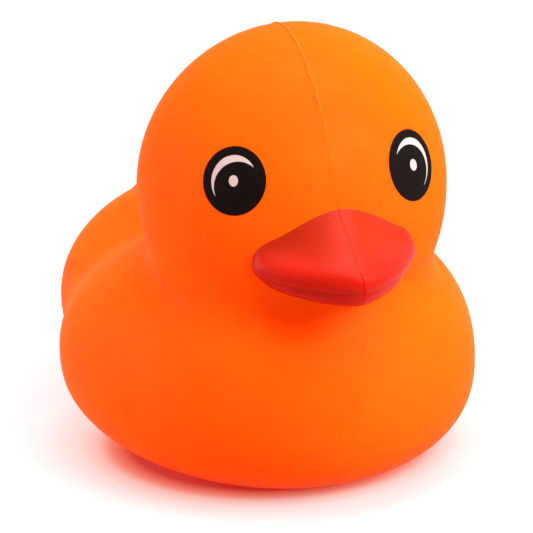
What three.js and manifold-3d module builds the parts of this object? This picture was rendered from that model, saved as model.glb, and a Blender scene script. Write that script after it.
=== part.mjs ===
// A squishy toy duck, moulded in one piece of soft self-skinned foam.
// Millimetres, +Z up. The bill points along -Y, and the origin lies on the flat base,
// under the widest part of the body.
// The form is a few round lobes that flow into each other, with the bill set on the face.
import * as THREE from "three";
import { mergeVertices } from "three/addons/utils/BufferGeometryUtils.js";
import Module from "manifold-3d";

// Body: a broad cushion, widest at the origin, with a flat base cut into its round underside
const bodyHalfWidth = 37.5;
const bodyFront = 45.9;
const bodyRear = 35.2;
const bodyRise = 19.7;
const bodyDrop = 19.9;
const bodySquareness = 2.67;
const baseSink = 1.25;

// Head: an egg that leans back a little, sunk into the top of the body
const headHalfWidth = 27.75;
const headFront = 25.4;
const headRear = 24.1;
const headRise = 28.4;
const headDrop = 31.5;
const headLean = -9.7;
const headForward = 16.9;
const headSink = 15.85;
const neckBlend = 11.2;

// Rump: a round lobe behind the body, with a soft saddle where the two meet
const rumpHalfWidth = 30.1;
const rumpHalfLength = 23.4;
const rumpRise = 22.2;
const rumpDrop = 18.8;
const rumpLift = 1.3;
const rumpOverlap = 30.6;
const rumpBlend = 6;

// Tail: a blunt upturned tip on the top of the rump
const tailHalfWidth = 12.5;
const tailHalfLength = 16;
const tailHalfThickness = 5.5;
const tailLift = 30;
const tailInset = 10.4;
const tailDip = 14.8;
const tailBlend = 7;

// Bill: two thick lips drawn to a blunt point, a straight sloping top with a soft ridge along
// its middle, and a rounded root on the face
const lipHalfWidth = 14.55;
const lipReach = 13.75;
const lipRoot = 10;
const lipRise = 2;
const lipDrop = 1.8;
const lipSquareness = 3.6;
const lipRoundness = 1.33;
const lipDroop = 1.3;
const lipInset = 2.3;
const lipBelowEyes = 6.8;
const jawHalfWidth = 12.6;
const jawReach = 12.8;
const jawRise = 1.8;
const jawDrop = 2.4;
const jawSquareness = 3.2;
const jawRoundness = 1.46;
const jawDroop = 5;
const jawBelowLip = 2.4;
const slopeHalfWidth = 9.5;
const slopeReach = 11;
const slopeRise = 8.6;
const slopeDrop = 3;
const slopeSquareness = 1.56;
const slopeRoundness = 1.69;
const rootHalfWidth = 13.85;
const rootReach = 4.65;
const rootRise = 11.5;
const rootDrop = 3;
const rootSquareness = 2.42;
const rootRoundness = 1.56;
const rootBehindLip = 1.5;
const rootBelowLip = 0.2;
const rootBlend = 3.5;
const lipBlend = 3.2;
const mouthBlend = 2;

// Parting line of the mould: a fine raised ridge from the bill over the crown to the nape
const ridgeWidth = 0.8;
const ridgeHeight = 0.3;
const ridgeRoot = 1.5;
const ridgeStart = 10;
const ridgeEnd = 170;
const ridgeSteps = 60;

// Fineness of the facets, and the settling of the wrapped skin
const formDetail = 17;
const billDetail = 13;
const relaxPasses = 40;
const relaxShare = 0.6;
const projections = 3;
const bisections = 30;
const gradientStep = 0.02;
const mergeTolerance = 1e-4;
const tiny = 1e-9;

// Colours and finish
const skinColour = 0xff6a0d;
const skinRoughness = 0.62;
const billColour = 0xd8321f;
const billRoughness = 0.55;

// Places that follow from the sizes above
const bodyZ = bodyDrop - baseSink;
const headY = -headForward;
const headZ = bodyZ + bodyRise - headSink + headDrop;
const rumpY = bodyRear - rumpOverlap + rumpHalfLength;
const rumpZ = rumpLift + rumpDrop;
const tailY = rumpY + rumpHalfLength - tailInset;
const tailZ = rumpZ + rumpRise - tailDip;
const lipY = headY - headFront + lipInset;
const lipZ = headZ - lipBelowEyes;
const farReach = 2 * (bodyHalfWidth + bodyFront + bodyRear + headRise + rumpHalfLength);

// One lobe on the median plane, as a field: below zero inside, about the distance outside.
// A squareness over 2 fills out its shoulders, and a roundness under 2 points its plan.
function lobe({ y, z, side, front, rear, up, down, squareness = 2, roundness = 2, pitch = 0 }) {
  const cos = Math.cos(THREE.MathUtils.degToRad(pitch));
  const sin = Math.sin(THREE.MathUtils.degToRad(pitch));
  return (point) => {
    const along = (point.y - y) * cos + (point.z - z) * sin;
    const above = (point.z - z) * cos - (point.y - y) * sin;
    const reachAlong = along < 0 ? front : rear;
    const reachAbove = above < 0 ? down : up;
    const wide = Math.abs(point.x / side) + tiny;
    const long = Math.abs(along / reachAlong) + tiny;
    const tall = Math.abs(above / reachAbove) + tiny;
    const flat = (wide ** roundness + long ** roundness) ** (1 / roundness);
    const size = (flat ** squareness + tall ** squareness) ** (1 / squareness);
    const flatSlope = Math.hypot(
      wide ** (roundness - 1) / side,
      long ** (roundness - 1) / reachAlong,
    ) / flat ** (roundness - 1);
    const slope = Math.hypot(
      flat ** (squareness - 1) * flatSlope,
      tall ** (squareness - 1) / reachAbove,
    ) / size ** (squareness - 1);
    return (size - 1) / slope;
  };
}

// Two fields that flow into each other over a fillet of about the given width
function blend(first, second, width) {
  return (point) => {
    const a = first(point);
    const b = second(point);
    const share = Math.max(width - Math.abs(a - b), 0) / width;
    return Math.min(a, b) - (share * share * width) / 4;
  };
}

// Body, rump, tail and head as one skin
function formField() {
  const body = lobe({
    y: 0,
    z: bodyZ,
    side: bodyHalfWidth,
    front: bodyFront,
    rear: bodyRear,
    up: bodyRise,
    down: bodyDrop,
    squareness: bodySquareness,
  });
  const rump = lobe({
    y: rumpY,
    z: rumpZ,
    side: rumpHalfWidth,
    front: rumpHalfLength,
    rear: rumpHalfLength,
    up: rumpRise,
    down: rumpDrop,
  });
  const tail = lobe({
    y: tailY,
    z: tailZ,
    side: tailHalfWidth,
    front: tailHalfLength,
    rear: tailHalfLength,
    up: tailHalfThickness,
    down: tailHalfThickness,
    pitch: tailLift,
  });
  const head = lobe({
    y: headY,
    z: headZ,
    side: headHalfWidth,
    front: headFront,
    rear: headRear,
    up: headRise,
    down: headDrop,
    pitch: headLean,
  });
  const behind = blend(rump, tail, tailBlend);
  return blend(blend(body, behind, rumpBlend), head, neckBlend);
}

// Upper lip, lower lip, sloping top and root as one skin that starts inside the head
function billField() {
  const lip = lobe({
    y: lipY,
    z: lipZ,
    side: lipHalfWidth,
    front: lipReach,
    rear: lipRoot,
    up: lipRise,
    down: lipDrop,
    squareness: lipSquareness,
    roundness: lipRoundness,
    pitch: lipDroop,
  });
  const jaw = lobe({
    y: lipY,
    z: lipZ - jawBelowLip,
    side: jawHalfWidth,
    front: jawReach,
    rear: lipRoot,
    up: jawRise,
    down: jawDrop,
    squareness: jawSquareness,
    roundness: jawRoundness,
    pitch: jawDroop,
  });
  const slope = lobe({
    y: lipY,
    z: lipZ,
    side: slopeHalfWidth,
    front: slopeReach,
    rear: lipRoot,
    up: slopeRise,
    down: slopeDrop,
    squareness: slopeSquareness,
    roundness: slopeRoundness,
    pitch: lipDroop,
  });
  const root = lobe({
    y: lipY + rootBehindLip,
    z: lipZ - rootBelowLip,
    side: rootHalfWidth,
    front: rootReach,
    rear: lipRoot,
    up: rootRise,
    down: rootDrop,
    squareness: rootSquareness,
    roundness: rootRoundness,
  });
  const top = blend(blend(root, slope, rootBlend), lip, lipBlend);
  return blend(top, jaw, mouthBlend);
}

// Where a ray from inside a field leaves it
function skinPoint(field, heart, ray, target) {
  let inside = 0;
  let outside = farReach;
  for (let step = 0; step < bisections; step += 1) {
    const middle = (inside + outside) / 2;
    target.copy(heart).addScaledVector(ray, middle);
    if (field(target) < 0) inside = middle;
    else outside = middle;
  }
  return target;
}

// Moves a point onto the skin, along the steepest way
function project(field, point) {
  const ahead = new THREE.Vector3();
  const slope = new THREE.Vector3();
  for (let turn = 0; turn < projections; turn += 1) {
    const here = field(point);
    for (const axis of ["x", "y", "z"]) {
      ahead.copy(point);
      ahead[axis] += gradientStep;
      slope[axis] = (field(ahead) - here) / gradientStep;
    }
    point.addScaledVector(slope, -here / slope.lengthSq());
  }
}

// The vertices that share an edge with each vertex
function neighboursOf(geometry) {
  const index = geometry.getIndex();
  const near = Array.from({ length: geometry.getAttribute("position").count }, () => new Set());
  for (let i = 0; i < index.count; i += 3) {
    const corners = [index.getX(i), index.getX(i + 1), index.getX(i + 2)];
    for (const from of corners) {
      for (const to of corners) if (from !== to) near[from].add(to);
    }
  }
  return near;
}

function bare(geometry) {
  geometry.deleteAttribute("normal");
  geometry.deleteAttribute("uv");
  return mergeVertices(geometry, mergeTolerance);
}

// A ball of even facets wrapped round a field. Each vertex goes out to the skin, and is then
// drawn to its neighbours, the farther ones pulling more, and back onto the skin, until the
// facets are even.
function wrap(field, heart, detail) {
  const ball = bare(new THREE.IcosahedronGeometry(1, detail));
  const position = ball.getAttribute("position");
  const near = neighboursOf(ball);
  const ray = new THREE.Vector3();
  const points = near.map((_, i) => {
    ray.fromBufferAttribute(position, i).normalize();
    return skinPoint(field, heart, ray, new THREE.Vector3());
  });
  const middle = new THREE.Vector3();
  for (let pass = 0; pass < relaxPasses; pass += 1) {
    points.forEach((point, i) => {
      let pulls = 0;
      middle.set(0, 0, 0);
      for (const j of near[i]) {
        const pull = point.distanceToSquared(points[j]);
        middle.addScaledVector(points[j], pull);
        pulls += pull;
      }
      point.lerp(middle.divideScalar(pulls), relaxShare);
      project(field, point);
    });
  }
  points.forEach((point, i) => position.setXYZ(i, point.x, point.y, point.z));
  return ball;
}

// The parting ridge: a thin band that follows the median outline of the head
function partingRidge(field) {
  const heart = new THREE.Vector3(0, headY, headZ);
  const ray = new THREE.Vector3();
  const outer = [];
  const inner = [];
  for (let step = 0; step <= ridgeSteps; step += 1) {
    const share = step / ridgeSteps;
    const angle = THREE.MathUtils.degToRad(THREE.MathUtils.lerp(ridgeStart, ridgeEnd, share));
    ray.set(0, -Math.cos(angle), Math.sin(angle));
    const skin = skinPoint(field, heart, ray, new THREE.Vector3());
    const raised = skin.clone().addScaledVector(ray, ridgeHeight);
    const rooted = skin.clone().addScaledVector(ray, -ridgeRoot);
    outer.push(new THREE.Vector2(raised.y, raised.z));
    inner.unshift(new THREE.Vector2(rooted.y, rooted.z));
  }
  const band = new THREE.ExtrudeGeometry(new THREE.Shape([...outer, ...inner]), {
    depth: ridgeWidth,
    bevelEnabled: false,
  });
  // The drawing plane turns so that its axes lie along +Y and +Z, centred on the median plane.
  band.translate(0, 0, -ridgeWidth / 2);
  band.applyMatrix4(
    new THREE.Matrix4().makeBasis(
      new THREE.Vector3(0, 1, 0),
      new THREE.Vector3(0, 0, 1),
      new THREE.Vector3(1, 0, 0),
    ),
  );
  return bare(band);
}

const wasm = await Module();
wasm.setup();

function solid(geometry) {
  const mesh = new wasm.Mesh({
    numProp: 3,
    vertProperties: geometry.getAttribute("position").array,
    triVerts: new Uint32Array(geometry.getIndex().array),
  });
  return new wasm.Manifold(mesh).asOriginal();
}

// The joined solid as a geometry, with the bill's facets in a group of their own
function paintedGeometry(joined, billId) {
  const mesh = joined.getMesh();
  const geometry = new THREE.BufferGeometry();
  geometry.setAttribute("position", new THREE.BufferAttribute(mesh.vertProperties, 3));
  geometry.setIndex(new THREE.BufferAttribute(mesh.triVerts, 1));
  for (let run = 0; run < mesh.runOriginalID.length; run += 1) {
    const start = mesh.runIndex[run];
    const count = mesh.runIndex[run + 1] - start;
    geometry.addGroup(start, count, mesh.runOriginalID[run] === billId ? 1 : 0);
  }
  geometry.computeVertexNormals();
  return geometry;
}

function makeDuck() {
  const form = formField();
  const bill = billField();
  const bodyHeart = new THREE.Vector3(0, 0, bodyZ);
  const billHeart = new THREE.Vector3(0, lipY, lipZ);
  const formSolid = solid(wrap(form, bodyHeart, formDetail));
  const billSolid = solid(wrap(bill, billHeart, billDetail));
  const ridgeSolid = solid(partingRidge(form));
  const below = bare(new THREE.BoxGeometry(farReach, farReach, farReach));
  below.translate(0, 0, -farReach / 2);
  const joined = formSolid.add(ridgeSolid).add(billSolid).subtract(solid(below));
  const skin = new THREE.MeshStandardMaterial({
    color: skinColour,
    roughness: skinRoughness,
    metalness: 0,
  });
  const paint = new THREE.MeshStandardMaterial({
    color: billColour,
    roughness: billRoughness,
    metalness: 0,
  });
  const duck = new THREE.Mesh(paintedGeometry(joined, billSolid.originalID()), [skin, paint]);
  duck.name = "duck";
  return duck;
}

const toy = new THREE.Group();
toy.add(makeDuck());

export default toy;
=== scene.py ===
import math
import bpy
import numpy as np
from mathutils import Matrix, Vector


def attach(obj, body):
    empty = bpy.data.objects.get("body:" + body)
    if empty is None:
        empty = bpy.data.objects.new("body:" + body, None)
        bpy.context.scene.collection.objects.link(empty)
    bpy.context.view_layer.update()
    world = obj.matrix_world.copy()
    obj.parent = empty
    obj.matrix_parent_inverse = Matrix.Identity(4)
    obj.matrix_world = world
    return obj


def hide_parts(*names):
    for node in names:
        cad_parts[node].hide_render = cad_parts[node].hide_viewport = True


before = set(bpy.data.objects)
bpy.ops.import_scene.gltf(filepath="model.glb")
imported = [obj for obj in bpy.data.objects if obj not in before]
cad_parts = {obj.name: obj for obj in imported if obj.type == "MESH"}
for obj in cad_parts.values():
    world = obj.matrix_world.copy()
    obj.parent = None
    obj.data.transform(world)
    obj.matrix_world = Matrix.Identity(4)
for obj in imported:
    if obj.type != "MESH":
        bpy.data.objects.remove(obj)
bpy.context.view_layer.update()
mm = 0.001
print("duck: frame loaded")


# small helpers

def linearColour(hexText):
    # sRGB hex to linear RGBA
    channels = []
    for start in (0, 2, 4):
        level = int(hexText[start:start + 2], 16) / 255
        channels.append(level / 12.92 if level <= 0.04045 else ((level + 0.055) / 1.055) ** 2.4)
    return (*channels, 1.0)


def startMaterial(name):
    mat = bpy.data.materials.new(name)
    mat.use_nodes = True
    return mat, mat.node_tree, mat.node_tree.nodes["Principled BSDF"]


def addNode(tree, kind, values=None, links=None, **settings):
    # one node with its settings, its input values and its incoming links
    node = tree.nodes.new(kind)
    for key, value in settings.items():
        setattr(node, key, value)
    for socket, value in (values or {}).items():
        node.inputs[socket].default_value = value
    for socket, source in (links or {}).items():
        tree.links.new(source, node.inputs[socket])
    return node


def deselectAll():
    if bpy.context.mode != "OBJECT":
        bpy.ops.object.mode_set(mode="OBJECT")
    bpy.ops.object.select_all(action="DESELECT")


def makeActive(obj):
    deselectAll()
    obj.select_set(True)
    bpy.context.view_layer.objects.active = obj


def readPoints(obj):
    points = np.empty(len(obj.data.vertices) * 3)
    obj.data.vertices.foreach_get("co", points)
    return points.reshape(-1, 3)


def writePoints(obj, points):
    obj.data.vertices.foreach_set("co", np.ascontiguousarray(points).ravel())
    obj.data.update()


# the form: round lobes that flow into each other, in millimetres and degrees
# a lobe has its middle and its reach each way; square fills out its upright section and roundness its
# level one, soft rounds its ridge, and a wedge lets its top rise toward the front

formShape = {
    "body": {"y": 0.0, "z": 18.06, "side": 37.5, "front": 47.6, "rear": 36.8, "up": 26.4, "down": 19.9,
             "square": 2.06, "squareBelow": 2.42, "wedge": 0.25},
    "head": {"y": -16.9, "z": 54.0, "side": 27.75, "front": 25.4, "rear": 24.1, "up": 28.4, "down": 31.0,
             "pitch": -9.7},
    "rump": {"y": 28.0, "z": 20.1, "side": 29.9, "front": 23.4, "rear": 23.4, "up": 22.1, "down": 18.8},
    "tail": {"y": 41.0, "z": 27.5, "side": 12.5, "front": 16.0, "rear": 16.0, "up": 5.5, "down": 5.5,
             "pitch": 30},
    "neckBlend": 4.2,
    "rumpBlend": 8.0,
    "tailBlend": 7.0,
    "baseRound": 1.2,            # the moulding's rounded edge round its flat base
    "heart": (0.0, 0.0, 18.65),  # where the rays to the skin start
    "ballLevel": 5,              # subdivisions of the ball that is wrapped round the form
    "passes": (80, 30, 12),      # settling passes, before and after each further division
    "shadeAngle": 50,
}

billShape = {
    "lip": {"y": -40.0, "z": 47.2, "side": 14.55, "front": 13.75, "rear": 10.0, "up": 2.2, "down": 1.8,
            "square": 3.6, "roundness": 1.33, "pitch": 1.3},
    "jaw": {"y": -40.0, "z": 44.8, "side": 12.6, "front": 12.8, "rear": 10.0, "up": 1.8, "down": 2.4,
            "square": 3.2, "roundness": 1.46, "pitch": 5},
    "slope": {"y": -40.0, "z": 47.2, "side": 9.6, "front": 11.5, "rear": 10.0, "up": 9.1, "down": 3.0,
              "square": 1.56, "roundness": 1.69, "pitch": 1.3, "soft": 2.0},
    "root": {"y": -38.5, "z": 47.0, "side": 13.9, "front": 4.8, "rear": 10.0, "up": 11.5, "down": 3.0,
             "square": 2.6, "roundness": 1.6, "soft": 2.0},
    "rootBlend": 3.5,
    "lipBlend": 3.2,
    "mouthBlend": 2.0,
    "softening": 60,             # smoothing turns that round the moulded edges
    "softenShare": 0.5,          # how far one turn goes
    "heart": (0.0, -40.0, 47.2),
    "ballLevel": 4,
    "passes": (60, 30, 16, 8),
}

# the soft head leans a little to one side
headLean = {"from": 48.0, "crown": 82.0, "shift": 1.0}

# how a ball is wrapped round a form
wrapping = {
    "farReach": 150.0,     # mm, outside every form
    "halvings": 30,        # of a ray, to find the skin on it
    "settleShare": 0.6,    # of its neighbours' pull that a point follows
    "probe": 0.02,         # mm, for the slope of a form
    "leastReach": 1.0,     # mm, where a wedge runs out
    "offZero": 1e-9,
}


def lobe(points, y, z, side, front, rear, up, down, square=2.0, squareBelow=None, roundness=2.0,
         pitch=0.0, soft=0.0, wedge=0.0):
    # below zero inside, about the distance outside
    turn = math.radians(pitch)
    rearward = points[:, 1] - y
    upward = points[:, 2] - z
    along = rearward * math.cos(turn) + upward * math.sin(turn)
    above = upward * math.cos(turn) - rearward * math.sin(turn)
    reachAlong = np.where(along < 0, front, rear)
    reachAbove = np.where(above < 0, down, np.maximum(up - wedge * along, wrapping["leastReach"]))
    power = np.where(above < 0, squareBelow or square, square)
    wide = np.hypot(points[:, 0], soft) / side + wrapping["offZero"]
    long = np.abs(along / reachAlong) + wrapping["offZero"]
    tall = np.abs(above / reachAbove) + wrapping["offZero"]
    flat = (wide ** roundness + long ** roundness) ** (1 / roundness)
    size = (flat ** power + tall ** power) ** (1 / power)
    flatSlope = np.hypot(wide ** (roundness - 1) / side, long ** (roundness - 1) / reachAlong)
    flatSlope = flatSlope / flat ** (roundness - 1)
    slope = np.hypot(flat ** (power - 1) * flatSlope, tall ** (power - 1) / reachAbove)
    return (size - 1) * size ** (power - 1) / slope


def flow(first, second, width):
    # the nearer of two fields, with a fillet of about that width between them
    share = np.maximum(width - np.abs(first - second), 0) / width
    return np.minimum(first, second) - share * share * width / 4


def formField(points):
    body = lobe(points, **formShape["body"])
    head = lobe(points, **formShape["head"])
    rump = lobe(points, **formShape["rump"])
    tail = lobe(points, **formShape["tail"])
    behind = flow(rump, tail, formShape["tailBlend"])
    lower = flow(body, behind, formShape["rumpBlend"])
    skin = flow(lower, head, formShape["neckBlend"])
    return -flow(-skin, points[:, 2], formShape["baseRound"])


def billField(points):
    lip = lobe(points, **billShape["lip"])
    jaw = lobe(points, **billShape["jaw"])
    slope = lobe(points, **billShape["slope"])
    root = lobe(points, **billShape["root"])
    top = flow(root, slope, billShape["rootBlend"])
    top = flow(top, lip, billShape["lipBlend"])
    return flow(top, jaw, billShape["mouthBlend"])


def wholeField(points):
    return np.minimum(formField(points), billField(points))


def slopeOf(field, points):
    step = wrapping["probe"]
    here = field(points)
    slope = np.empty_like(points)
    for axis in range(3):
        ahead = points.copy()
        ahead[:, axis] += step
        slope[:, axis] = (field(ahead) - here) / step
    return here, slope


def outwardAt(field, points):
    # unit normals of a form's skin
    _, slope = slopeOf(field, points)
    return slope / np.linalg.norm(slope, axis=1)[:, None]


def ontoSkin(field, points, turns=3):
    for _ in range(turns):
        here, slope = slopeOf(field, points)
        points = points - slope * (here / (slope ** 2).sum(1))[:, None]
    return points


def leanHead(points):
    share = np.clip((points[:, 2] - headLean["from"]) / (headLean["crown"] - headLean["from"]), 0, 1)
    leaning = points.copy()
    leaning[:, 0] += headLean["shift"] * share ** 2
    return leaning


def settle(obj, field, passes):
    # each point is drawn to its neighbours, the far ones pulling more, and back onto the skin
    points = readPoints(obj) / mm
    edges = np.empty(len(obj.data.edges) * 2, dtype=np.int64)
    obj.data.edges.foreach_get("vertices", edges)
    near, far = edges.reshape(-1, 2).T
    count = len(points)
    for _ in range(passes):
        gap = points[far] - points[near]
        pull = (gap ** 2).sum(1)
        total = np.bincount(near, pull, count) + np.bincount(far, pull, count)
        move = np.empty_like(points)
        for axis in range(3):
            tug = gap[:, axis] * pull
            move[:, axis] = np.bincount(near, tug, count) - np.bincount(far, tug, count)
        drawn = points + wrapping["settleShare"] * move / total[:, None]
        points = ontoSkin(field, drawn, turns=2)
    writePoints(obj, ontoSkin(field, points) * mm)


def wrapBall(name, field, shape):
    # an ico ball pulled out onto the skin, then divided and settled in steps
    deselectAll()
    bpy.ops.mesh.primitive_ico_sphere_add(subdivisions=shape["ballLevel"], radius=1.0)
    obj = bpy.context.object
    obj.name = name
    obj.data.name = name
    heart = np.array(shape["heart"])
    rays = readPoints(obj)
    rays = rays / np.linalg.norm(rays, axis=1)[:, None]
    near = np.zeros(len(rays))
    far = np.full(len(rays), wrapping["farReach"])
    for _ in range(wrapping["halvings"]):
        middle = (near + far) / 2
        inside = field(heart + rays * middle[:, None]) < 0
        near = np.where(inside, middle, near)
        far = np.where(inside, far, middle)
    writePoints(obj, (heart + rays * near[:, None]) * mm)
    firstPasses, *laterPasses = shape["passes"]
    settle(obj, field, firstPasses)
    for passes in laterPasses:
        makeActive(obj)
        bpy.ops.object.mode_set(mode="EDIT")
        bpy.ops.mesh.select_all(action="SELECT")
        bpy.ops.mesh.subdivide(number_cuts=1)
        bpy.ops.mesh.quads_convert_to_tris()
        bpy.ops.object.mode_set(mode="OBJECT")
        settle(obj, field, passes)
    return obj


# materials, with their patterns' sizes in millimetres

foamLook = {
    "tones": ("FF5F04", "FF6507"),
    "cloud": 14,            # across a patch of tone
    "grain": 0.8,           # coarser than the real skin's pores, so that it shows
    "grainDepth": 0.1,
    "grainStrength": 0.06,
    # painted highlight: the paler tone laid on the parting ridge's side toward the light
    "ridgeHighlight": "FF691C",
    "ridgeHighlightRise": (60, 80),  # above the floor, from where the painted highlight starts to its full tone
    "roughness": 0.55,
    "specular": 0.03,
    "glow": 0.6,
    "glowRadius": (1.0, 0.1, 0.03),
    "glowDepth": 12,
}

paintLook = {
    "plainPaintTones": ("A41404", "BC1D08"),
    # painted sheen: the lighter, more orange red on the upper bill, for the light from above
    "paintedSheenTones": ("A02206", "B62D0B"),
    "paintedSheenRise": (47, 52),   # above the floor, from the plain paint to the full painted sheen higher up
    "speck": 0.35,          # coarser than the real spray, so that it shows
    "speckDepth": 0.1,
    "speckStrength": 0.6,
    "roughness": 0.34,
    "specular": 0.09,
    "glow": 0.8,
    "glowRadius": (1.0, 0.04, 0.02),
    "glowDepth": 9,
}

inkLook = {
    "black": {"name": "blackInkPadPrinted", "tones": ("0A0504", "110806"), "roughness": 0.6},
    "white": {"name": "whiteInkPadPrinted", "tones": ("B6B6B5", "C0C0BF"), "roughness": 0.55},
    "patch": 1.5,
    "specular": 0.05,
}


def toneFrom(tree, source, tones, lowAt=0.3, highAt=0.7):
    # a two-colour ramp over the middle of a pattern
    ramp = addNode(tree, "ShaderNodeValToRGB", links={"Fac": source})
    for stop, at, hexText in zip(ramp.color_ramp.elements, (lowAt, highAt), tones):
        stop.position = at
        stop.color = linearColour(hexText)
    return ramp.outputs["Color"]


def heightShare(tree, place, span):
    # 0 to 1 from the lower to the upper height, in millimetres above the floor
    height = addNode(tree, "ShaderNodeSeparateXYZ", links={"Vector": place.outputs["Object"]})
    share = addNode(tree, "ShaderNodeMapRange", {"From Min": span[0] * mm, "From Max": span[1] * mm},
                    {"Value": height.outputs["Z"]})
    return share.outputs["Result"]


def setFinish(bsdf, look):
    bsdf.inputs["Roughness"].default_value = look["roughness"]
    bsdf.inputs["Specular IOR Level"].default_value = look["specular"]
    bsdf.inputs["Subsurface Weight"].default_value = look["glow"]
    bsdf.inputs["Subsurface Radius"].default_value = look["glowRadius"]
    bsdf.inputs["Subsurface Scale"].default_value = look["glowDepth"] * mm


def foamSkinMaterial(name, isRidgeHighlight=False):
    # self-skinned polyurethane foam, moulded: an even matte orange that glows a little in its folds;
    # the copy for the parting ridge is paler higher up on the side toward the light: a painted highlight
    mat, tree, bsdf = startMaterial(name)
    place = addNode(tree, "ShaderNodeTexCoord")
    cloud = addNode(tree, "ShaderNodeTexNoise",
                    {"Scale": 1 / (foamLook["cloud"] * mm), "Detail": 4.0, "Roughness": 0.6},
                    {"Vector": place.outputs["Object"]})
    tone = toneFrom(tree, cloud.outputs["Fac"], foamLook["tones"])
    # painted highlight: the ridge's copy turns paler toward the crown
    if isRidgeHighlight:
        pale = heightShare(tree, place, foamLook["ridgeHighlightRise"])
        mixed = addNode(tree, "ShaderNodeMix", {7: linearColour(foamLook["ridgeHighlight"])}, {0: pale, 6: tone},
                        data_type="RGBA")
        tone = mixed.outputs[2]
    tree.links.new(tone, bsdf.inputs["Base Color"])
    grain = addNode(tree, "ShaderNodeTexNoise", {"Scale": 1 / (foamLook["grain"] * mm), "Detail": 3.0},
                    {"Vector": place.outputs["Object"]})
    bump = addNode(tree, "ShaderNodeBump",
                   {"Strength": foamLook["grainStrength"], "Distance": foamLook["grainDepth"] * mm},
                   {"Height": grain.outputs["Fac"]})
    tree.links.new(bump.outputs["Normal"], bsdf.inputs["Normal"])
    setFinish(bsdf, foamLook)
    return mat


def billPaintMaterial():
    # sprayed soft-touch paint: a red with a fine dry grain, lighter and more orange higher up the bill
    # as a painted sheen of the light from above
    mat, tree, bsdf = startMaterial("acrylicPaintSprayed")
    place = addNode(tree, "ShaderNodeTexCoord")
    speck = addNode(tree, "ShaderNodeTexNoise",
                    {"Scale": 1 / (paintLook["speck"] * mm), "Detail": 3.0, "Roughness": 0.7},
                    {"Vector": place.outputs["Object"]})
    full = toneFrom(tree, speck.outputs["Fac"], paintLook["plainPaintTones"])
    # the second tone is the painted sheen on the upper bill, not thinner paint
    thin = toneFrom(tree, speck.outputs["Fac"], paintLook["paintedSheenTones"])
    share = heightShare(tree, place, paintLook["paintedSheenRise"])
    tone = addNode(tree, "ShaderNodeMix", links={0: share, 6: full, 7: thin}, data_type="RGBA")
    tree.links.new(tone.outputs[2], bsdf.inputs["Base Color"])
    bump = addNode(tree, "ShaderNodeBump",
                   {"Strength": paintLook["speckStrength"], "Distance": paintLook["speckDepth"] * mm},
                   {"Height": speck.outputs["Fac"]})
    tree.links.new(bump.outputs["Normal"], bsdf.inputs["Normal"])
    setFinish(bsdf, paintLook)
    return mat


def inkMaterial(look):
    # pad-printed ink: an even film, a little patchy where the pad lifted
    mat, tree, bsdf = startMaterial(look["name"])
    place = addNode(tree, "ShaderNodeTexCoord")
    patch = addNode(tree, "ShaderNodeTexNoise", {"Scale": 1 / (inkLook["patch"] * mm), "Detail": 3.0},
                    {"Vector": place.outputs["Object"]})
    tree.links.new(toneFrom(tree, patch.outputs["Fac"], look["tones"]), bsdf.inputs["Base Color"])
    bsdf.inputs["Roughness"].default_value = look["roughness"]
    bsdf.inputs["Specular IOR Level"].default_value = inkLook["specular"]
    return mat


foamSkin = foamSkinMaterial("polyurethaneFoamSelfSkinnedMoulded")
# the foam copy with the painted highlight for the parting ridge's lit side
partingHighlight = foamSkinMaterial("polyurethaneFoamPartingHighlight", isRidgeHighlight=True)
billPaint = billPaintMaterial()
blackInk = inkMaterial(inkLook["black"])
whiteInk = inkMaterial(inkLook["white"])
print("duck: materials mixed")


# the moulding: skin and bill wrapped, joined into one closed mesh, and the parting line raised on it

partingLine = {
    "height": 0.22,                    # mm at the crown
    "feet": (-0.12, 0.45),             # mm from the crest to the foot of its steep and gentle sides
    "plane": (1.0, -0.045, 0.1),       # the mould halves met a little askew
    "crossing": (-0.2, -42.0, 56.0),   # mm, where the line meets the bill
    "crown": (-6.0, 82.0),
    "fade": 46.0,                      # mm from the crown to where the ridge has sunk in
    "leastShare": 0.12,                # of its height that is left there
    "lowest": 40.0,                    # mm above the floor where it ends
    "ridgeHighlightLowest": 56.0,               # mm above the floor where the painted highlight on the ridge ends
    "billHeight": 0.12,
    "lipDepth": 0.2,                   # on the lip the line is a groove
    "lipTop": 48.4,
    "tolerance": 0.01,                 # mm beside a line that still count as on it
    "cutMerge": 0.001,
    "weld": 0.0005,
}

mouthLine = {"level": 44.8, "depth": 0.22, "halfWidth": 0.35, "corner": -40.0, "fade": 4.0}


def softenEdges(bill):
    worn = bill.modifiers.new("softEdges", "SMOOTH")
    worn.factor = billShape["softenShare"]
    worn.iterations = billShape["softening"]
    makeActive(bill)
    bpy.ops.object.modifier_apply(modifier=worn.name)


def pressMouthLine(bill):
    points = readPoints(bill) / mm
    outward = outwardAt(billField, points)
    offLine = (points[:, 2] - mouthLine["level"]) / mouthLine["halfWidth"]
    depth = mouthLine["depth"] * np.exp(-offLine ** 2)
    depth = depth * np.clip((mouthLine["corner"] - points[:, 1]) / mouthLine["fade"], 0, 1)
    writePoints(bill, (points - outward * depth[:, None]) * mm)


def joinBill(duck, bill):
    duck.data.materials.append(foamSkin)
    bill.data.materials.append(billPaint)
    makeActive(duck)
    joint = duck.modifiers.new("billJoint", "BOOLEAN")
    joint.operation = "UNION"
    joint.solver = "EXACT"
    joint.material_mode = "TRANSFER"
    joint.object = bill
    bpy.ops.object.modifier_apply(modifier=joint.name)
    bpy.data.objects.remove(bill, do_unlink=True)


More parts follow.
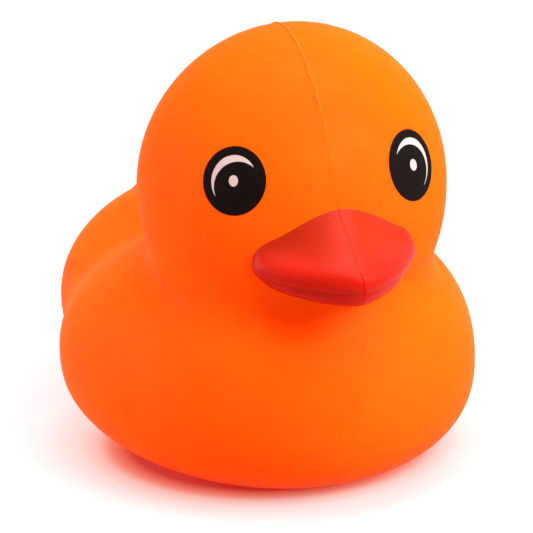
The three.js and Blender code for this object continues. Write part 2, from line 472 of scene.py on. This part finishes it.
def raisePartingLine(duck):
    plane = Vector(partingLine["plane"])
    crossing = Vector(partingLine["crossing"])
    steepFoot, gentleFoot = partingLine["feet"]
    tolerance = partingLine["tolerance"]

    # cuts along the parting plane carry the crest and both feet of the ridge
    makeActive(duck)
    bpy.ops.object.mode_set(mode="EDIT")
    for offset in (steepFoot, 0.0, gentleFoot):
        bpy.ops.mesh.select_all(action="SELECT")
        bpy.ops.mesh.bisect(plane_co=(crossing + Vector((offset, 0, 0))) * mm, plane_no=plane,
                            threshold=partingLine["cutMerge"] * mm)
    bpy.ops.mesh.select_all(action="SELECT")
    bpy.ops.mesh.remove_doubles(threshold=partingLine["weld"] * mm)
    bpy.ops.object.mode_set(mode="OBJECT")

    # the crest stands up most at the crown, less on the bill, and sinks into the lip
    points = readPoints(duck) / mm
    beside = (points - np.array(crossing)) @ np.array(plane)
    onCrest = (np.abs(beside) < tolerance) & (points[:, 2] > partingLine["lowest"])
    crownY, crownZ = partingLine["crown"]
    away = np.hypot(points[:, 1] - crownY, points[:, 2] - crownZ)
    lift = partingLine["height"] * np.clip(1 - away / partingLine["fade"], partingLine["leastShare"], 1)
    onLip = points[:, 2] < partingLine["lipTop"]
    billLift = np.where(onLip, -partingLine["lipDepth"], partingLine["billHeight"])
    lift = np.where(billField(points) < formField(points), billLift, lift)
    points[onCrest] += outwardAt(wholeField, points[onCrest]) * lift[onCrest][:, None]

    # faces on the ridge's gentle side, toward the light, take the copy of the foam with the painted
    # highlight
    foamIndex = 0
    ridgeHighlightIndex = len(duck.data.materials)
    duck.data.materials.append(partingHighlight)
    for face in duck.data.polygons:
        corners = beside[list(face.vertices)]
        onRidgeHighlight = corners.min() > -tolerance and corners.max() < gentleFoot + tolerance
        isHigh = face.center.z > partingLine["ridgeHighlightLowest"] * mm
        if onRidgeHighlight and isHigh and face.material_index == foamIndex:
            face.material_index = ridgeHighlightIndex
    writePoints(duck, leanHead(points) * mm)


def makeDuck():
    duck = wrapBall("duckSkin", formField, formShape)
    bill = wrapBall("billForm", billField, billShape)
    softenEdges(bill)
    pressMouthLine(bill)
    joinBill(duck, bill)
    print("duck: bill joined,", len(duck.data.polygons), "faces")
    raisePartingLine(duck)
    makeActive(duck)
    bpy.ops.object.shade_smooth_by_angle(angle=math.radians(formShape["shadeAngle"]))
    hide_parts("duck")
    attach(duck, "root")
    print("duck: moulding done,", len(duck.data.polygons), "faces")


makeDuck()


# printed eyes: thin films of ink that follow the head, in millimetres and degrees

eyePrint = {
    "left": {
        "centre": (-16.93, -35.44, 61.73),
        "mirror": -1,
        "oval": (5.8, 6.05),
        "lean": 9,
        "dot": (0.82, 0.97),
        "glintOuter": (4.1, 4.45),
        "glintInner": 4.36,
        "glintShift": 1.29,
        "glintSide": 50,      # from level to the glint's thickest place
    },
    "right": {
        "centre": (15.2, -36.65, 61.37),
        "mirror": 1,
        "oval": (5.95, 6.45),
        "lean": 8,
        "dot": (0.87, 1.02),
        "glintOuter": (4.3, 4.85),
        "glintInner": 4.5,
        "glintShift": 1.04,
        "glintSide": 45,
    },
    "film": 0.05,             # that a film stands proud, drawn thicker than real ink
    "whiteOver": 0.04,        # that the white stands over the black
    "sunk": 0.06,             # that a film reaches into the skin
    "weld": 0.001,
    "ovalMesh": (14, 96),     # rings and spokes
    "dotMesh": (4, 48),
    "glintMesh": (72, 4),     # faces along and across
    "glintTip": 0.02,         # across a glint's tip
    "glintTries": 721,        # angles at which the tips are looked for
    "fitTurns": 6,
    "shadeAngle": 40,
}


def eyeFrame(centre):
    # a point on the head, with the directions across and up the skin there
    point = ontoSkin(formField, np.array([centre], dtype=float))
    normal = outwardAt(formField, point)[0]
    across = np.cross((0, 0, 1), normal)
    across = across / np.linalg.norm(across)
    return point[0], across, np.cross(normal, across)


def filmOnHead(obj, name, flat, frameOfEye, proud, ink):
    # a flat shape carried onto the head as a thin closed film
    point, across, rise = frameOfEye
    skin = ontoSkin(formField, point + flat[:, :1] * across + flat[:, 1:2] * rise, eyePrint["fitTurns"])
    writePoints(obj, leanHead(skin + outwardAt(formField, skin) * proud) * mm)
    obj.name = name
    obj.data.name = name
    obj.data.materials.append(ink)
    makeActive(obj)
    bpy.ops.object.mode_set(mode="EDIT")
    bpy.ops.mesh.select_all(action="SELECT")
    bpy.ops.mesh.remove_doubles(threshold=eyePrint["weld"] * mm)
    bpy.ops.object.mode_set(mode="OBJECT")
    thick = obj.modifiers.new("film", "SOLIDIFY")
    thick.thickness = (proud + eyePrint["sunk"]) * mm
    thick.offset = -1
    bpy.ops.object.modifier_apply(modifier=thick.name)
    bpy.ops.object.shade_smooth_by_angle(angle=math.radians(eyePrint["shadeAngle"]))
    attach(obj, "root")


def addDisc(rings, spokes):
    # a disc of radius 1 in concentric rings
    deselectAll()
    bpy.ops.mesh.primitive_circle_add(vertices=spokes, radius=1.0, fill_type="NGON")
    disc = bpy.context.object
    bpy.ops.object.mode_set(mode="EDIT")
    bpy.ops.mesh.select_all(action="SELECT")
    for _ in range(rings - 1):
        bpy.ops.mesh.inset(thickness=1 / rings)
    bpy.ops.mesh.poke()
    bpy.ops.object.mode_set(mode="OBJECT")
    return disc


def glintEdges(eye, turn):
    # the crescent lies between an outer oval and an inner circle moved away from its thick side
    side = math.radians(eye["glintSide"])
    wide, tall = eye["glintOuter"]
    outer = 1 / np.hypot(np.cos(turn + side) / wide, np.sin(turn + side) / tall)
    shift = eye["glintShift"]
    inner = np.sqrt(eye["glintInner"] ** 2 - (shift * np.sin(turn)) ** 2) - shift * np.cos(turn)
    return inner, outer


def addGlint(eye):
    # a strip of faces bent round into the crescent
    deselectAll()
    facesAlong, facesAcross = eyePrint["glintMesh"]
    bpy.ops.mesh.primitive_grid_add(x_subdivisions=facesAlong, y_subdivisions=facesAcross, size=2)
    strip = bpy.context.object
    grid = readPoints(strip)
    turns = np.linspace(-math.pi, math.pi, eyePrint["glintTries"])
    inner, outer = glintEdges(eye, turns)
    wideEnough = turns[outer - inner > eyePrint["glintTip"]]
    firstTip = wideEnough[0]
    lastTip = wideEnough[-1]
    turn = firstTip + (lastTip - firstTip) * (grid[:, 0] + 1) / 2
    inner, outer = glintEdges(eye, turn)
    reach = inner + (outer - inner) * (1 - grid[:, 1]) / 2
    angle = turn + math.radians(eye["glintSide"])
    flat = np.stack([eye["mirror"] * reach * np.cos(angle), reach * np.sin(angle)], 1)
    if eye["mirror"] < 0:
        strip.data.flip_normals()
    return strip, flat


def makeEye(side):
    eye = eyePrint[side]
    place = eyeFrame(eye["centre"])
    film = eyePrint["film"]
    over = film + eyePrint["whiteOver"]
    lean = math.radians(eye["lean"])
    turned = np.array([[math.cos(lean), math.sin(lean)], [-math.sin(lean), math.cos(lean)]])
    oval = addDisc(*eyePrint["ovalMesh"])
    ovalFlat = readPoints(oval)[:, :2] * eye["oval"] @ turned
    filmOnHead(oval, side + "EyeOval", ovalFlat, place, film, blackInk)
    dot = addDisc(*eyePrint["dotMesh"])
    dotFlat = readPoints(dot)[:, :2] * eye["dot"] @ turned
    filmOnHead(dot, side + "EyeDot", dotFlat, place, over, whiteInk)
    glint, glintFlat = addGlint(eye)
    filmOnHead(glint, side + "EyeGlint", glintFlat, place, over, whiteInk)


for eyeSide in ("left", "right"):
    makeEye(eyeSide)
print("duck: eyes printed")


# stage: white floor, soft light from above and from the sides, and the photograph's camera

floorSet = {
    "size": 12.0,
    "colour": "FBFBFB",
    "roughness": 0.9,
    "bounce": "ABABAB",              # a grey sweep under the duck as the light sees it: painted shade that darkens the duck's underside
    "contactBounce": "FF3A1C",       # painted red bounce: the paper near the base is red as the light sees it, for what base and paper throw at each other
    "contactCentre": (0.0, -0.0035, 0.0),
    "contactReach": (0.026, 0.0243),
    "paintedShadowShare": 0.75,              # how much of the painted shadow and glow stands in for the lit paper close round the duck
    "paperFade": (1.6, 4.5),         # from there the emitted paper shows more, to all of it, in radii of the base
    # the painted shadow and red glow on the paper, from the edge of the base to one more radius out
    "paintedShadowTint": {0.0: "CE1204", 0.07: "EC5F47", 0.14: "F98875",
             0.22: "FFCABF", 0.35: "FFEBE7", 0.7: "FFFFFF"},
}

fillLight = {"colour": "FF7A6B", "strength": 0.8}   # warm light thrown back by the duck's surroundings

lamps = {
    "overheadLamp": {"azimuth": 55, "elevation": 82, "distance": 1.0, "size": 1.0, "power": 12.3},
    "keyLamp": {"azimuth": 33, "elevation": 34, "distance": 0.6, "size": 0.3, "power": 3.65},
    "rightLamp": {"azimuth": 62, "elevation": 4, "distance": 0.7, "size": 0.5, "power": 1.5},
    "leftLamp": {"azimuth": -112, "elevation": 4, "distance": 0.7, "size": 0.5, "power": 3.7},
}
lampTarget = (0, -0.01, 0.045)       # metres, in the duck's neck

cameraSet = {
    "azimuth": -18.5,
    "elevation": 19.27,
    "roll": -0.58,
    "distance": 0.7,
    "target": (2.4, 4.66, 30.76),    # mm
    "pixelsPerMm": 5.42,
    "imagePixels": 533,
    "sensor": 36,
    "farthest": 20,
}


def seenDirectly(tree):
    # 1 where the camera, a reflection or a clear piece sees a surface, 0 where only light falls from it
    path = addNode(tree, "ShaderNodeLightPath")
    either = addNode(tree, "ShaderNodeMath", operation="MAXIMUM",
                     links={0: path.outputs["Is Camera Ray"], 1: path.outputs["Is Glossy Ray"]})
    seen = addNode(tree, "ShaderNodeMath", operation="MAXIMUM",
                   links={0: either.outputs["Value"], 1: path.outputs["Is Transmission Ray"]})
    return seen.outputs["Value"]


def paperMaterial():
    # matte studio paper: plain white, with a painted shadow and a painted red glow close round the base
    mat, tree, bsdf = startMaterial("floorPaper")
    bsdf.inputs["Roughness"].default_value = floorSet["roughness"]
    bsdf.inputs["Specular IOR Level"].default_value = 0.0
    # how far a point is from the middle of the base, in its radii, and from its edge
    place = addNode(tree, "ShaderNodeTexCoord")
    centred = addNode(tree, "ShaderNodeVectorMath", {1: floorSet["contactCentre"]},
                      {0: place.outputs["Object"]}, operation="SUBTRACT")
    wide, long = floorSet["contactReach"]
    scaled = addNode(tree, "ShaderNodeVectorMath", {1: (1 / wide, 1 / long, 0)},
                     {0: centred.outputs["Vector"]}, operation="MULTIPLY")
    apart = addNode(tree, "ShaderNodeVectorMath", links={0: scaled.outputs["Vector"]},
                    operation="LENGTH")
    away = addNode(tree, "ShaderNodeMapRange", {"From Min": 1.0, "From Max": 2.0},
                   {"Value": apart.outputs["Value"]})
    # what the light meets, grey with a painted red bounce near the base, and what is seen
    seen = seenDirectly(tree)
    bounce = addNode(tree, "ShaderNodeMix", {6: linearColour(floorSet["contactBounce"]),
                                             7: linearColour(floorSet["bounce"])},
                     {0: away.outputs["Result"]}, data_type="RGBA")
    colour = addNode(tree, "ShaderNodeMix", {7: linearColour(floorSet["colour"])},
                     {0: seen, 6: bounce.outputs[2]}, data_type="RGBA")
    tree.links.new(colour.outputs[2], bsdf.inputs["Base Color"])
    paintedShadowTint = addNode(tree, "ShaderNodeValToRGB", links={"Fac": away.outputs["Result"]})
    stops = paintedShadowTint.color_ramp.elements
    stops.remove(stops[1])
    for at, hexText in floorSet["paintedShadowTint"].items():
        stop = stops.new(at)
        stop.color = linearColour(hexText)
    stops.remove(stops[0])
    fadeFrom, fadeTo = floorSet["paperFade"]
    fade = addNode(tree, "ShaderNodeMapRange", {"From Min": fadeFrom, "From Max": fadeTo,
                                                "To Min": floorSet["paintedShadowShare"], "To Max": 1.0},
                   {"Value": apart.outputs["Value"]})
    share = addNode(tree, "ShaderNodeMath", operation="MULTIPLY",
                    links={0: fade.outputs["Result"], 1: seen})
    # this emission paints the duck's shadow and its red glow on the paper near the base, plain white
    # farther out
    white = addNode(tree, "ShaderNodeEmission", {"Strength": 1.0}, {"Color": paintedShadowTint.outputs["Color"]})
    mixed = addNode(tree, "ShaderNodeMixShader",
                    links={0: share.outputs["Value"], 1: bsdf.outputs["BSDF"],
                           2: white.outputs["Emission"]})
    tree.links.new(mixed.outputs["Shader"], tree.nodes["Material Output"].inputs["Surface"])
    return mat


def makeFloor():
    deselectAll()
    bpy.ops.mesh.primitive_plane_add(size=floorSet["size"])
    floor = bpy.context.object
    floor.name = "floor"
    floor.data.materials.append(paperMaterial())


def makeWorld():
    # seen as plain white, but a warm fill as light
    world = bpy.data.worlds.new("studio")
    bpy.context.scene.world = world
    world.use_nodes = True
    tree = world.node_tree
    tree.nodes.clear()
    seen = seenDirectly(tree)
    strength = addNode(tree, "ShaderNodeMapRange", {"To Min": fillLight["strength"], "To Max": 1.0},
                       {"Value": seen})
    colour = addNode(tree, "ShaderNodeMix", {6: linearColour(fillLight["colour"]),
                                             7: linearColour("FFFFFF")},
                     {0: seen}, data_type="RGBA")
    back = addNode(tree, "ShaderNodeBackground",
                   links={"Color": colour.outputs[2], "Strength": strength.outputs["Result"]})
    addNode(tree, "ShaderNodeOutputWorld", links={"Surface": back.outputs["Background"]})


def towardAngles(azimuth, elevation):
    turn = math.radians(azimuth)
    rise = math.radians(elevation)
    return Vector((math.sin(turn) * math.cos(rise), -math.cos(turn) * math.cos(rise), math.sin(rise)))


def makeLamps():
    for name, lamp in lamps.items():
        data = bpy.data.lights.new(name, "AREA")
        data.energy = lamp["power"]
        data.shape = "DISK"
        data.size = lamp["size"]
        obj = bpy.data.objects.new(name, data)
        bpy.context.collection.objects.link(obj)
        toward = towardAngles(lamp["azimuth"], lamp["elevation"])
        obj.location = Vector(lampTarget) + toward * lamp["distance"]
        obj.rotation_euler = (-toward).to_track_quat("-Z", "Y").to_euler()
        obj.visible_camera = False


def makeCamera():
    turn = math.radians(cameraSet["azimuth"])
    roll = math.radians(cameraSet["roll"])
    back = towardAngles(cameraSet["azimuth"], cameraSet["elevation"])
    level = Vector((math.cos(turn), math.sin(turn), 0))
    upright = back.cross(level)
    right = math.cos(roll) * level + math.sin(roll) * upright
    up = math.cos(roll) * upright - math.sin(roll) * level
    stand = Vector(cameraSet["target"]) * mm + back * cameraSet["distance"]
    pixelsPerMetre = cameraSet["pixelsPerMm"] / mm
    data = bpy.data.cameras.new("photoCamera")
    data.sensor_width = cameraSet["sensor"]
    data.lens = cameraSet["sensor"] * pixelsPerMetre * cameraSet["distance"] / cameraSet["imagePixels"]
    data.clip_end = cameraSet["farthest"]
    camera = bpy.data.objects.new("photoCamera", data)
    bpy.context.collection.objects.link(camera)
    camera.matrix_world = Matrix((
        (right.x, up.x, back.x, stand.x),
        (right.y, up.y, back.y, stand.y),
        (right.z, up.z, back.z, stand.z),
        (0, 0, 0, 1),
    ))
    bpy.context.scene.camera = camera


makeFloor()
makeWorld()
makeLamps()
makeCamera()
bpy.context.scene.view_settings.view_transform = "Standard"
print("duck: stage set")
